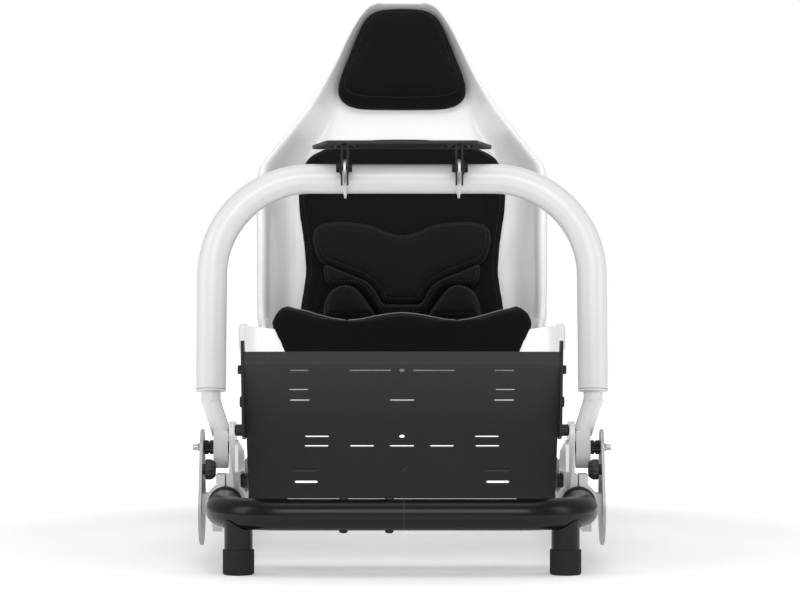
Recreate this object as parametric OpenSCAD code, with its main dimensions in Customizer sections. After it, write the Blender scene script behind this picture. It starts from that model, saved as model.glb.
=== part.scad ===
// Sim racing cockpit: a reclined bucket seat on a tubular base, with a sliding
// front carriage that carries the pedal plate and the wheel hoop.
// The pedal end faces -Y, the seat end faces +Y and the floor is z = 0.
// Heights are above the floor. Depths are measured back from the front of the base.

/* [Base frame] */
// Length of the base from the front bar to the rear bar
base_length = 1440; // [1430:1:1460]
// Outside diameter of the base tube
tube_d = 50; // [48:1:52]
// Distance from the edge of the pedal plate to the middle of a side rail
rail_offset = 42; // [40:1:45]
// Height of the tube centre above the floor
rail_z = 97; // [94:1:102]
// Centreline radius of the corner bends
bend_r = 110; // [105:1:115]
// Diameter of the four legs
leg_d = 45; // [42:1:46]
// Height of the rubber feet
foot_h = 40; // [34:1:44]

/* [Carriage] */
// Depth of the front face of the collars
collar_y = 250; // [246:1:260]
// Length of a collar along the rail
collar_l = 56; // [52:1:60]
// Wall of the plastic bushing in a collar
bushing_t = 4; // [3.5:0.5:4.5]
// Wall of a collar round its bushing
collar_t = 5; // [4:0.5:6]
// Thickness of the steel side plates
side_plate_t = 5; // [4:0.5:6]

/* [Wheel hoop] */
// Distance from the middle of a side rail to the middle of a hoop leg, across
hoop_offset = 29; // [27:1:31]
// Diameter of the hoop tube
hoop_d = 50; // [48:1:52]
// Height of the top bar above the hoop's pivot, along the legs
hoop_h = 455; // [445:1:465]
// Centreline radius of the hoop's upper corners
hoop_bend_r = 165; // [155:1:170]
// Backward lean of the hoop
hoop_lean = 8; // [6:0.5:10]
// Diameter of the arms that slide in the hoop's legs
arm_d = 32; // [31:1:33]

/* [Wheel plate] */
// Width of the wheel plate at its rear edge
wheel_plate_w = 310; // [300:1:320]
// Length of the wheel plate from front to rear
wheel_plate_l = 216; // [210:1:222]
// Thickness of the wheel plate
wheel_plate_t = 5; // [4:0.5:6]

/* [Pedal plate] */
// Width of the pedal plate
pedal_w = 498; // [490:1:500]
// Length of the sloping face of the pedal plate
pedal_l = 268; // [264:1:272]
// Angle between the pedal plate and the vertical
pedal_tilt = 34; // [32:0.5:36]
// Thickness of the pedal plate
pedal_t = 4; // [3.5:0.5:5]

/* [Seat] */
// Width of the seat shell at its front
seat_w = 576; // [570:1:578]
// Thickness of the shell behind the pads
shell_t = 34; // [30:1:38]
// Thickness of the backrest pad
back_pad_t = 24; // [20:1:28]
// Thickness of the pads that lie on the backrest pad
top_pad_t = 26; // [22:1:30]

/* [Hidden] */
$fn = 64;
hair = 0.05;
run_gap = 0.1;
seat_gap = 0.3;
pin_gap = 0.08;

rail_x = pedal_w / 2 + rail_offset;
tube_r = tube_d / 2;
straight_y = tube_r + bend_r;
join_x = 3;
leg_x = rail_x - bend_r + bend_r * cos(45);
leg_y = straight_y - bend_r * sin(45);
foot_floor = 8;

bushing_r = tube_r + bushing_t;
collar_r = bushing_r + collar_t;
ear_half = 24;
ear_outer = 16;
ear_top = rail_z + 48;
slit = 3;
plate_x = rail_x + 39;

pivot_y = collar_y + 62;
pivot_z = rail_z + 90;
hoop_x = rail_x + hoop_offset;
hoop_r = hoop_d / 2;
hoop_leg_bottom = 97;
hoop_wall = 2;
arm_lug_x = rail_x + 11;
arm_lug_w = 24;
upright_t = 9;
upright_x = arm_lug_x - arm_d / 2 - 0.5 - upright_t;

bar_y = pivot_y + hoop_h * sin(hoop_lean);
bar_z = pivot_z + hoop_h * cos(hoop_lean);
wheel_pivot_y = bar_y - 48;
wheel_pivot_z = bar_z + 17;
wheel_tab_x = 96;
wheel_plate_z = bar_z + 57;
wheel_plate_y = wheel_pivot_y - 20;

pedal_top_y = 30;
pedal_lip = 20;
pedal_low = 14;
pedal_top_z = rail_z + pedal_low + pedal_l * cos(pedal_tilt) + pedal_lip;
cheek_t = 4.5;
link_t = 9;
pedal_pivot_y = 104;
pedal_pivot_z = rail_z + 129;

recline = 64.3;
back_y = 1030;
back_z = 365;

// One seat section: depth, height, slope, half width, half width of the flat, wing height
SEAT_SECTIONS = [
    [562, 350, -12, 0.985, 0.79, 38],
    [580, 347, -12, 1.000, 0.79, 44],
    [640, 333, -16, 1.000, 0.79, 48],
    [730, 302, -20, 0.986, 0.77, 55],
    [810, 273, -14, 0.958, 0.74, 80],
    [880, 262, 6, 0.931, 0.72, 105],
    [940, 278, 28, 0.927, 0.71, 118],
    [990, 315, 48, 0.931, 0.71, 118],
    [1030, 365, 64.3, 0.951, 0.715, 115],
    [1095, 500, 64.3, 0.964, 0.72, 112],
    [1155.8, 626.3, 64.3, 0.976, 0.75, 110],
    [1175.7, 667.8, 64.3, 0.908, 0.74, 105],
    [1205.2, 729, 64.3, 0.774, 0.645, 90],
    [1230.4, 781.3, 64.3, 0.663, 0.575, 75],
    [1270.3, 864.2, 64.3, 0.495, 0.425, 60],
    [1311, 948.9, 64.3, 0.358, 0.315, 54],
    [1333.6, 995.8, 64.3, 0.262, 0.215, 46],
    [1338.8, 1006.6, 64.3, 0.190, 0.150, 36]];

// Moves a shape drawn in depths so that the origin is under the middle of the base
module in_base() {
    translate([0, -base_length / 2, 0]) children();
}

// Draws its child on the side named by sign: -1 is left, 1 is right
module on_side(sign) {
    if (sign > 0) children();
    else mirror([1, 0, 0]) children();
}

module both_sides() {
    for (sign = [-1, 1]) on_side(sign) children();
}

// A plate in the depth and height plane, drawn as 2D and starting at x
module side_sheet(x, t) {
    translate([x, 0, 0]) rotate([90, 0, 90]) linear_extrude(t) children();
}

// A cylinder along X from x0 to x1 at depth y and height z
module x_rod(x0, x1, y, z, r) {
    translate([x0, y, z]) rotate([0, 90, 0]) cylinder(h = x1 - x0, r = r);
}

// The straight-sided band between two circles, a hair inside their tangents
module tangent_band(p, rp, q, rq) {
    d = q - p;
    base = atan2(d[1], d[0]);
    turn = acos((rp - rq) / norm(d));
    polygon([for (e = [[p, rp, turn], [q, rq, turn], [q, rq, -turn], [p, rp, -turn]])
        e[0] + (e[1] - hair) * [cos(base + e[2]), sin(base + e[2])]]);
}

// A plate with two round ends, in the depth and height plane
module side_link(x, t, p, rp, q, rq) {
    side_sheet(x, t) translate(p) circle(rp);
    side_sheet(x, t) translate(q) circle(rq);
    side_sheet(x, t) tangent_band(p, rp, q, rq);
}

// Numbers between rows b and c, at share t, on the smooth curve that rows a to d give
function between(a, b, c, d, t) = 0.5 * (2 * b + (c - a) * t
    + (2 * a - 5 * b + 4 * c - d) * t * t + (3 * b - a - 3 * c + d) * t * t * t);

// Rows of numbers with more rows between them, on a smooth curve
function smooth_rows(rows, parts) = let (last = len(rows) - 1)
    concat([for (i = [0:last - 1], k = [0:parts - 1])
        between(rows[max(i - 1, 0)], rows[i], rows[i + 1], rows[min(i + 2, last)], k / parts)],
        [rows[last]]);

// A solid skin through closed rings of points, capped at both ends
module loft(rings) {
    n = len(rings[0]);
    last = len(rings) - 1;
    points = [for (ring = rings) each ring];
    sides = [for (i = [0:last - 1], k = [0:n - 1], half = [0, 1])
        let (a = i * n + k, b = i * n + (k + 1) % n)
        half == 0 ? [a, b, b + n] : [a, b + n, a + n]];
    polyhedron(points, concat([[for (k = [n - 1:-1:0]) k]], sides,
        [[for (k = [0:n - 1]) last * n + k]]), convexity = 6);
}

// Base frame

// One bent tube of the base, from the middle of the front bar to that of the rear bar
module half_base(inner) {
    in_base() {
        for (end = [0, 1]) translate([0, end * base_length, 0]) mirror([0, end, 0]) {
            translate([inner, tube_r, rail_z]) rotate([0, 90, 0])
                cylinder(h = rail_x - bend_r - inner, r = tube_r);
            translate([rail_x - bend_r, straight_y, rail_z]) rotate([0, 0, -90])
                rotate_extrude(angle = 90) translate([bend_r, 0]) circle(tube_r);
        }
        translate([rail_x, straight_y, rail_z]) rotate([-90, 0, 0])
            cylinder(h = base_length - 2 * straight_y, r = tube_r);
    }
}

module base_left() {
    color("#1b1b1c") mirror([1, 0, 0]) half_base(-join_x);
}

module base_right() {
    color("#1b1b1c") half_base(join_x);
}

module leg_pair(y) {
    in_base() both_sides() difference() {
        translate([leg_x, y, foot_floor]) cylinder(h = rail_z - foot_floor, r = leg_d / 2);
        translate([rail_x - bend_r, y < base_length / 2 ? straight_y : base_length - straight_y, rail_z])
            rotate_extrude() translate([bend_r, 0]) circle(tube_r);
    }
}

module foot_pair(y) {
    in_base() both_sides() translate([leg_x, y, 0]) difference() {
        rotate_extrude() polygon([[0, 0], [leg_d / 2, 0], [leg_d / 2 + 2.5, 2.5],
            [leg_d / 2 + 2.5, foot_h - 1], [leg_d / 2 + 1.5, foot_h], [0, foot_h]]);
        translate([0, 0, foot_floor]) cylinder(h = foot_h, r = leg_d / 2);
    }
}

module front_legs() {
    color("#1b1b1c") leg_pair(leg_y);
}

module rear_legs() {
    color("#1b1b1c") leg_pair(base_length - leg_y);
}

module front_feet() {
    color("#141414") foot_pair(leg_y);
}

module rear_feet() {
    color("#141414") foot_pair(base_length - leg_y);
}

// Low bolt heads over and under the end bars, where the two halves are joined
module joiner_bolts() {
    bolt_r = 7;
    head_h = 4;
    color("#2a2a2b") in_base() difference() {
        for (y = [tube_r, base_length - tube_r], x = [-92, -20])
            translate([x, y, rail_z - tube_r - head_h])
                cylinder(h = tube_d + 2 * head_h, r = bolt_r);
        for (y = [tube_r, base_length - tube_r])
            x_rod(-110, 0, y, rail_z, tube_r);
    }
}

// Seat supports

seat_bar_r = 14;
seat_bracket_t = 6;
seat_bracket_x = rail_x - 27;

// Depth and height of the crossbar under a section of the seat
function seat_bar(s) = let (p = on_section(s, 0, -shell_t - seat_bar_r - seat_gap)) [p[1], p[2]];
seat_bars = [seat_bar(SEAT_SECTIONS[2]), seat_bar(SEAT_SECTIONS[7])];

// Four steel plates that stand on the rails and hold the crossbars
module seat_brackets() {
    color("#1b1b1c") in_base() both_sides() difference() {
        for (bar = seat_bars)
            side_link(seat_bracket_x, seat_bracket_t, bar, 17, [bar[0], rail_z], 30);
        translate([rail_x, 0, rail_z]) rotate([-90, 0, 0]) cylinder(h = base_length, r = tube_r);
        for (bar = seat_bars) x_rod(seat_bracket_x - 1, rail_x, bar[0], bar[1], seat_bar_r);
    }
}

module seat_crossbars() {
    reach = seat_bracket_x + seat_bracket_t + 4;
    color("#1b1b1c") in_base() for (bar = seat_bars)
        x_rod(-reach, reach, bar[0], bar[1], seat_bar_r);
}

// Seat

// Point at x and at height n over the seat's surface, for one section
function on_section(s, x, n) = [x, s[0] - n * sin(s[2]), s[1] + n * cos(s[2])];

// Largest radius of the shell's rolled rim
rim_r = 26;

// Right half of the shell's outline in a section: [x, n], from the middle outwards and back
function shell_half(w, flat, h) =
    let (side = w - flat, r = min(rim_r, h / 2, 0.45 * side), t = shell_t,
        rise = side - r - min(8, 0.2 * side)) [
    [flat, 0],
    [flat + 0.32 * rise, 0.10 * h],
    [flat + 0.64 * rise, 0.36 * h],
    [flat + 0.84 * rise, 0.70 * h],
    [flat + 0.97 * rise, 0.92 * h],
    [w - r - 3, 0.995 * h],
    [w - r * 0.5, h - r * 0.134],
    [w - r * 0.134, h - r * 0.5],
    [w, h - r],
    [w, -0.20 * t],
    [w - 0.35 * t, -0.72 * t],
    [w - 1.10 * t, -t]];

function shell_ring(s) =
    let (w = s[3] * seat_w / 2, flat = s[4] * seat_w / 2, half = shell_half(w, flat, s[5]))
    concat([for (p = half) on_section(s, p[0], p[1])],
        [for (k = [len(half) - 1:-1:0]) on_section(s, -half[k][0], half[k][1])]);

module seat_shell() {
    color("#f1f1f2") in_base() loft([for (s = smooth_rows(SEAT_SECTIONS, 2)) shell_ring(s)]);
}

// Thickness of the cushion at each section that it lies on
cushion_h = [64, 69, 73, 70, 62, 50, 38, 30, 24];
// How far the cushion's front roll stands in front of the shell and hangs below the pan
roll_out = 13;
roll_drop = 26;

// Right half of the cushion's outline, with a groove under each thigh: low is its underside
function cushion_half(w, h, low) = [
    [0, 0.88 * h], [0.24 * w, 0.80 * h], [0.43 * w, 0.64 * h], [0.66 * w, 0.78 * h],
    [0.88 * w, h], [0.97 * w, 0.78 * h], [w, 0.45 * h], [0.90 * w, low]];

function cushion_ring(s, w, h, low) =
    let (half = cushion_half(w, h, low), n = len(half))
    concat([for (p = half) on_section(s, p[0], p[1])],
        [for (k = [n - 1:-1:1]) on_section(s, -half[k][0], half[k][1])]);

// The first section, moved forward by e along the pan
function before_shell(e) = let (s = SEAT_SECTIONS[0])
    [s[0] - e * cos(s[2]), s[1] - e * sin(s[2]), s[2]];

module seat_cushion() {
    first_w = (SEAT_SECTIONS[0][4] - 0.01) * seat_w / 2;
    rows = [for (k = [0:8]) concat(SEAT_SECTIONS[k], cushion_h[k])];
    color("#242425") in_base() loft(concat(
        [cushion_ring(before_shell(roll_out), 0.97 * first_w, 0.86 * cushion_h[0], 4 - roll_drop),
        cushion_ring(before_shell(0.6 * roll_out), first_w, 0.98 * cushion_h[0], -roll_drop),
        cushion_ring(before_shell(seat_gap), first_w, cushion_h[0], -roll_drop)],
        [for (s = smooth_rows(rows, 2))
            cushion_ring(s, (s[4] - 0.01) * seat_w / 2, s[6], seat_gap)]));
}

// Draws a flat outline as a pad on the backrest, from n0 to n1 over the shell
module back_sheet(n0, n1) {
    in_base() translate([0, back_y, back_z]) rotate([recline, 0, 0])
        translate([0, 0, n0]) linear_extrude(n1 - n0) children();
}

module mirrored_outline(half) {
    polygon(concat(half, [for (k = [len(half) - 1:-1:0]) [-half[k][0], half[k][1]]]));
}

module backrest_pad() {
    color("#242425") back_sheet(seat_gap, back_pad_t) mirrored_outline([
        [60, 2], [196, 2], [194, 70], [186, 132], [192, 200], [204, 270], [204, 345],
        [190, 372], [160, 395], [110, 414], [50, 422]]);
}

module shoulder_pad() {
    color("#1d1d1e") back_sheet(back_pad_t + seat_gap, back_pad_t + top_pad_t) mirrored_outline([
        [33, 48], [46, 76], [68, 98], [118, 121], [158, 140], [168, 164], [172, 194],
        [166, 212], [148, 221], [108, 223], [62, 216], [26, 200], [8, 194]]);
}

module lumbar_pad() {
    color("#1d1d1e") back_sheet(back_pad_t + seat_gap, back_pad_t + top_pad_t - 4) mirrored_outline([
        [52, 26], [80, 44], [108, 70], [124, 90], [140, 108], [150, 134],
        [118, 119.5], [69, 96.5], [47.5, 75], [34.5, 46.5], [20, 46.5]]);
}

module hip_pad() {
    back_sheet(back_pad_t + seat_gap, back_pad_t + 44) polygon([
        [60, 8], [62, 28], [84, 41], [98, 54], [107, 64], [117, 70], [131, 68], [143, 59],
        [151, 44], [153, 26], [153, 8]]);
}

module hip_pad_left() {
    color("#202021") mirror([1, 0, 0]) hip_pad();
}

module hip_pad_right() {
    color("#202021") hip_pad();
}

module headrest_pad() {
    color("#1d1d1e") back_sheet(seat_gap, 44) mirrored_outline([
        [90, 478], [110, 484], [121, 500], [123, 522], [116, 556], [98, 610], [86, 650],
        [76, 676], [60, 692], [33, 698]]);
}

// Carriage

// A split collar with two ears, drawn on the right rail
module collar() {
    in_base() difference() {
        union() {
            translate([rail_x, collar_y, rail_z]) rotate([-90, 0, 0])
                cylinder(h = collar_l, r = collar_r);
            translate([rail_x - ear_half, collar_y + 3, rail_z])
                cube([ear_half + ear_outer, collar_l - 6, ear_top - rail_z]);
            translate([rail_x, collar_y + 5, rail_z - 16])
                cube([plate_x - rail_x, collar_l - 10, 32]);
            translate([rail_x + 6, collar_y + 5, rail_z - 46])
                cube([16, collar_l - 10, 46]);
        }
        translate([rail_x, collar_y - 1, rail_z]) rotate([-90, 0, 0])
            cylinder(h = collar_l + 2, r = bushing_r);
        translate([rail_x - slit / 2, collar_y - 1, rail_z])
            cube([slit, collar_l + 2, ear_top - rail_z + 1]);
    }
}

module collar_left() {
    color("#efeff0") mirror([1, 0, 0]) collar();
}

module collar_right() {
    color("#efeff0") collar();
}

module bushings() {
    color("#151515") in_base() both_sides()
        translate([rail_x, collar_y - 2, rail_z]) rotate([-90, 0, 0]) difference() {
            cylinder(h = collar_l + 4, r = bushing_r);
            translate([0, 0, -1]) cylinder(h = collar_l + 6, r = tube_r + run_gap);
        }
}

// Star knobs on the inner ears of the collars, which pinch the slit shut
module collar_knobs() {
    knob_t = 12;
    hub_r = 10;
    color("#171717") in_base() both_sides() translate([0, collar_y + 22, rail_z + 37])
        side_sheet(rail_x - ear_half - knob_t, knob_t) {
            circle(hub_r);
            for (a = [0:45:315]) rotate(a) translate([hub_r - 1, 0]) circle(3.2);
        }
}

// A leaning plate outside the hoop's arm, carried by the collar
module side_plate() {
    lower = [collar_y + 38, rail_z - 11];
    upper = [pivot_y - 12, pivot_z - 5];
    in_base() difference() {
        side_link(plate_x, side_plate_t, lower, 60, upper, 36);
        x_rod(plate_x - 1, plate_x + side_plate_t + 1, pivot_y, pivot_z, 6);
    }
}

module side_plate_left() {
    color("#b9babc") mirror([1, 0, 0]) side_plate();
}

module side_plate_right() {
    color("#b9babc") side_plate();
}

// The inner support of the hoop's pivot, standing on the collar's ears
module upright() {
    in_base() difference() {
        side_sheet(upright_x, upright_t) {
            translate([collar_y + 4, ear_top]) square([collar_l + 24, 46]);
            translate([pivot_y - 4, pivot_z + 16]) circle(27);
            translate([collar_y + 31, pivot_z + 16]) circle(27);
            translate([collar_y + 31, pivot_z]) square([pivot_y - collar_y - 35, 43]);
            translate([collar_y + 4, pivot_z]) square([pivot_y - collar_y + 19, 16]);
        }
        x_rod(upright_x - 1, upright_x + upright_t + 1, pivot_y, pivot_z, 6);
    }
}

module upright_left() {
    color("#e4e4e6") mirror([1, 0, 0]) upright();
}

module upright_right() {
    color("#e4e4e6") upright();
}

// The link that holds the pedal plate's pivot, welded to the front of a collar's ear,
// and the fin beside it on the ear's inner face
module pedal_bracket() {
    ear_x = rail_x - ear_half;
    link_end = [collar_y - 14, rail_z + 42];
    in_base() {
        difference() {
            union() {
                side_link(ear_x, link_t, [pedal_pivot_y, pedal_pivot_z], 14, link_end, 17);
                side_sheet(ear_x, link_t) translate(link_end - [0, 12]) square([17, 18]);
            }
            x_rod(ear_x - 1, rail_x, pedal_pivot_y, pedal_pivot_z, 5);
            translate([0, collar_y + 3, 0]) cube([rail_x, 100, 300]);
        }
        side_sheet(ear_x - side_plate_t, side_plate_t) polygon([
            [pedal_pivot_y, rail_z + 62], [pedal_pivot_y, rail_z + 106],
            [pedal_pivot_y + 10, rail_z + 113], [collar_y + 36, rail_z + 86],
            [collar_y + 50, rail_z + 70], [collar_y + 50, rail_z + 32],
            [collar_y + 39, rail_z + 32], [collar_y + 36, rail_z + 52]]);
    }
}

module pedal_bracket_left() {
    color("#dcdcde") mirror([1, 0, 0]) pedal_bracket();
}

module pedal_bracket_right() {
    color("#dcdcde") pedal_bracket();
}

// Hand knobs inside the side plates, in front of the hoop's arms
module tilt_knobs() {
    color("#171717") in_base() both_sides() translate([plate_x, pivot_y - 48, pivot_z - 34])
        rotate([0, -90, 0]) rotate_extrude()
            polygon([[0, 0], [9, 0], [9, 5], [17, 5], [17, 16], [12, 22], [0, 22]]);
}

// Wheel hoop

// Draws a shape given relative to the pivot in the leaning plane of the hoop
module in_hoop() {
    in_base() translate([0, pivot_y, pivot_z]) rotate([-hoop_lean, 0, 0]) children();
}

arm_low = 24;
arm_high = 78;
arm_top = hoop_h - hoop_bend_r - 40;

// A tube that slides in the hoop's leg, cranked inwards to a flat lug at the pivot
module hoop_arm() {
    lug_r = arm_d / 2 + 1;
    shift = hoop_x - arm_lug_x;
    rise = arm_high - arm_low;
    in_hoop() difference() {
        union() {
            translate([hoop_x, 0, arm_high]) cylinder(h = arm_top - arm_high, r = arm_d / 2);
            translate([hoop_x, 0, arm_high]) sphere(arm_d / 2 + 0.8);
            translate([arm_lug_x, 0, arm_low]) rotate([0, atan2(shift, rise), 0])
                cylinder(h = norm([shift, rise]), r = arm_d / 2);
            side_sheet(arm_lug_x - arm_lug_w / 2, arm_lug_w) translate([0, -18]) circle(lug_r);
            side_sheet(arm_lug_x - arm_lug_w / 2, arm_lug_w)
                translate([-lug_r, -18]) square([2 * lug_r, arm_low + 20]);
        }
        x_rod(rail_x - 40, rail_x + 40, 0, 0, 6);
    }
}

module hoop_arm_left() {
    color("#ededee") mirror([1, 0, 0]) hoop_arm();
}

module hoop_arm_right() {
    color("#ededee") hoop_arm();
}

// The bolts that the hoop's arms pivot on, with a ribbed nut inside the side plate
module pivot_bolts() {
    bolt_out = plate_x + side_plate_t;
    color("#1a1a1a") in_base() both_sides() {
        x_rod(upright_x - 6, bolt_out + 14, pivot_y, pivot_z, 6 - pin_gap);
        x_rod(arm_lug_x + arm_lug_w / 2 + 0.5, plate_x, pivot_y, pivot_z, 12);
        x_rod(upright_x + upright_t, arm_lug_x - arm_lug_w / 2 - 0.5, pivot_y, pivot_z, 11);
        x_rod(bolt_out, bolt_out + 5, pivot_y, pivot_z, 9);
    }
}

module hoop() {
    leg_h = hoop_h - hoop_bend_r - hoop_leg_bottom;
    color("#f4f4f5") in_hoop() {
        both_sides() {
            translate([hoop_x, 0, hoop_leg_bottom]) difference() {
                cylinder(h = leg_h, r = hoop_r);
                translate([0, 0, -1]) cylinder(h = leg_h - 9, r = hoop_r - hoop_wall);
            }
            translate([hoop_x - hoop_bend_r, 0, hoop_h - hoop_bend_r]) rotate([90, 0, 0])
                rotate_extrude(angle = 90) translate([hoop_bend_r, 0]) circle(hoop_r);
        }
        x_rod(hoop_bend_r - hoop_x, hoop_x - hoop_bend_r, 0, hoop_h, hoop_r);
    }
}

module sleeve_caps() {
    cap_lip = 3;
    color("#e6e6e7") in_hoop() both_sides()
        translate([hoop_x, 0, hoop_leg_bottom - cap_lip]) difference() {
            union() {
                cylinder(h = cap_lip, r = hoop_r);
                cylinder(h = 43, r = hoop_r - hoop_wall);
            }
            translate([0, 0, -1]) cylinder(h = 46, r = arm_d / 2 + run_gap);
        }
}

// White tabs welded round the front of the top bar
module wheel_tabs() {
    color("#f1f1f2") in_base() both_sides() difference() {
        side_link(wheel_tab_x - 2, 4, [bar_y, bar_z], hoop_r + 8,
            [wheel_pivot_y, wheel_pivot_z], 12);
        x_rod(0, 200, bar_y, bar_z, hoop_r);
        x_rod(0, 200, wheel_pivot_y, wheel_pivot_z, 5);
    }
}

// Wheel plate

module in_wheel_plate() {
    in_base() translate([0, wheel_plate_y, wheel_plate_z]) children();
}

wheel_slot_x = 60;
wheel_slot_y = [84, 174];
wheel_slot_r = 4;
wheel_slot_l = 32;

module wheel_slot(x, y) {
    half = wheel_slot_l / 2 - wheel_slot_r;
    for (e = [-half, half]) translate([x + e, y, -1])
        cylinder(h = wheel_plate_t + 2, r = wheel_slot_r);
    translate([x - half, y - wheel_slot_r, -1])
        cube([2 * half, 2 * wheel_slot_r, wheel_plate_t + 2]);
}

module wheel_plate() {
    rear = wheel_plate_w / 2;
    front = rear - 29;
    color("#2b2b2c") in_wheel_plate() difference() {
        linear_extrude(wheel_plate_t) mirrored_outline([
            [front - 8, 0], [front, 6], [rear, wheel_plate_l * 0.8],
            [rear, wheel_plate_l - 10], [rear - 10, wheel_plate_l]]);
        for (x = [-wheel_slot_x, wheel_slot_x], y = wheel_slot_y) wheel_slot(x, y);
    }
}

flange_t = 3;

// A pair of hanging flanges with a fixing foot under the wheel plate
module wheel_bracket() {
    difference() {
        union() {
            in_base() for (x = [wheel_tab_x - 2 - 1.5 - flange_t, wheel_tab_x + 2 + 1.5])
                side_sheet(x, flange_t) translate([wheel_pivot_y, wheel_pivot_z])
                    polygon([[-12, -30], [10, -30], [10, 14], [44, 30], [44, 45], [-12, 45]]);
            in_wheel_plate() for (x = [wheel_tab_x - 22, wheel_tab_x + 3.5])
                translate([x, 6, -flange_t]) cube([18.5, 62, flange_t]);
        }
        in_wheel_plate() translate([0, -20, 0]) cube([200, 300, 60]);
        in_base() x_rod(0, 200, wheel_pivot_y, wheel_pivot_z, 5);
    }
}

module wheel_bracket_left() {
    color("#1f1f20") mirror([1, 0, 0]) wheel_bracket();
}

module wheel_bracket_right() {
    color("#1f1f20") wheel_bracket();
}

module wheel_bolts() {
    outer = wheel_tab_x + 2 + 1.5 + flange_t;
    inner = wheel_tab_x - 2 - 1.5 - flange_t;
    color("#161616") in_base() both_sides() {
        x_rod(inner, outer, wheel_pivot_y, wheel_pivot_z, 5 - pin_gap);
        x_rod(outer, outer + 2, wheel_pivot_y, wheel_pivot_z, 12);
        x_rod(outer + 2, outer + 8, wheel_pivot_y, wheel_pivot_z, 9.5);
        x_rod(inner - 6, inner, wheel_pivot_y, wheel_pivot_z, 9);
    }
}

// Pedal plate

// Draws a shape whose Z runs up the pedal plate and whose Y points at the driver
module in_pedal_plate() {
    in_base() translate([0, pedal_top_y, pedal_top_z - pedal_lip])
        rotate([pedal_tilt, 0, 0]) children();
}

// One slot: centre x, distance below the bend, length, width
PEDAL_SLOTS = [
    [161.5, 13, 31, 5], [50, 13, 67, 5], [163.5, 50, 31, 5], [162, 71, 32, 5],
    [136, 143, 39, 5], [137, 162, 39, 5], [64, 162, 39, 5],
    [155, 209, 40, 7], [155, 235, 38, 7]];
CENTRE_SLOTS = [[71, 40, 5], [162, 40, 5]];
CENTRE_HOLES = [13, 143, 209];

module pedal_slot(x, z, length, width) {
    translate([x, 0, -z]) rotate([90, 0, 0]) {
        for (e = [-1, 1]) translate([e * (length - width) / 2, 0, -2 * pedal_t])
            cylinder(h = 3 * pedal_t, r = width / 2);
        translate([-(length - width) / 2, -width / 2, -2 * pedal_t])
            cube([length - width, width, 3 * pedal_t]);
    }
}

module pedal_plate() {
    color("#2e2e2f") difference() {
        union() {
            in_base() translate([-pedal_w / 2, pedal_top_y, pedal_top_z - pedal_lip])
                cube([pedal_w, pedal_t, pedal_lip]);
            in_pedal_plate() translate([-pedal_w / 2, 0, -pedal_l])
                cube([pedal_w, pedal_t, pedal_l]);
        }
        in_pedal_plate() {
            for (s = PEDAL_SLOTS, side = [-1, 1]) pedal_slot(side * s[0], s[1], s[2], s[3]);
            for (s = CENTRE_SLOTS) pedal_slot(0, s[0], s[1], s[2]);
            for (z = CENTRE_HOLES) translate([0, 2 * pedal_t, -z]) rotate([90, 0, 0])
                cylinder(h = 3 * pedal_t, r = 4.5);
        }
    }
}

// A steel cheek beside the pedal plate
module pedal_cheek() {
    in_base() difference() {
        side_sheet(pedal_w / 2, cheek_t) polygon([
            [pedal_top_y - 10, pedal_top_z + 17], [pedal_top_y + 24, pedal_top_z + 17],
            [pedal_pivot_y + 22, pedal_pivot_z + 30], [pedal_pivot_y + 14, pedal_pivot_z - 12],
            [pedal_pivot_y - 14, pedal_pivot_z - 14], [pedal_top_y + 26, pedal_pivot_z - 8]]);
        x_rod(0, 300, pedal_pivot_y, pedal_pivot_z, 5);
    }
}

module pedal_cheek_left() {
    color("#232324") mirror([1, 0, 0]) pedal_cheek();
}

module pedal_cheek_right() {
    color("#232324") pedal_cheek();
}

module pedal_bolts() {
    cheek_x = pedal_w / 2 + cheek_t;
    link_x = rail_x - ear_half;
    color("#161616") in_base() both_sides() {
        x_rod(cheek_x, cheek_x + 6, pedal_top_y + 22, pedal_top_z - 29, 8);
        x_rod(cheek_x, cheek_x + 4.5, pedal_top_y + 50, pedal_top_z - 81, 12);
        x_rod(cheek_x, link_x - 0.3, pedal_pivot_y, pedal_pivot_z, 9.5);
        x_rod(pedal_w / 2, link_x + link_t + 2, pedal_pivot_y, pedal_pivot_z, 5 - pin_gap);
    }
}

base_left();
base_right();
front_legs();
rear_legs();
front_feet();
rear_feet();
joiner_bolts();
seat_brackets();
seat_crossbars();
seat_shell();
seat_cushion();
backrest_pad();
shoulder_pad();
lumbar_pad();
hip_pad_left();
hip_pad_right();
headrest_pad();
collar_left();
collar_right();
bushings();
collar_knobs();
side_plate_left();
side_plate_right();
upright_left();
upright_right();
pedal_bracket_left();
pedal_bracket_right();
tilt_knobs();
hoop_arm_left();
hoop_arm_right();
pivot_bolts();
hoop();
sleeve_caps();
wheel_tabs();
wheel_plate();
wheel_bracket_left();
wheel_bracket_right();
wheel_bolts();
pedal_plate();
pedal_cheek_left();
pedal_cheek_right();
pedal_bolts();
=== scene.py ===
import math

import bmesh
import bpy
import numpy as np
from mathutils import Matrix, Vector
from mathutils.bvhtree import BVHTree


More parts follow.
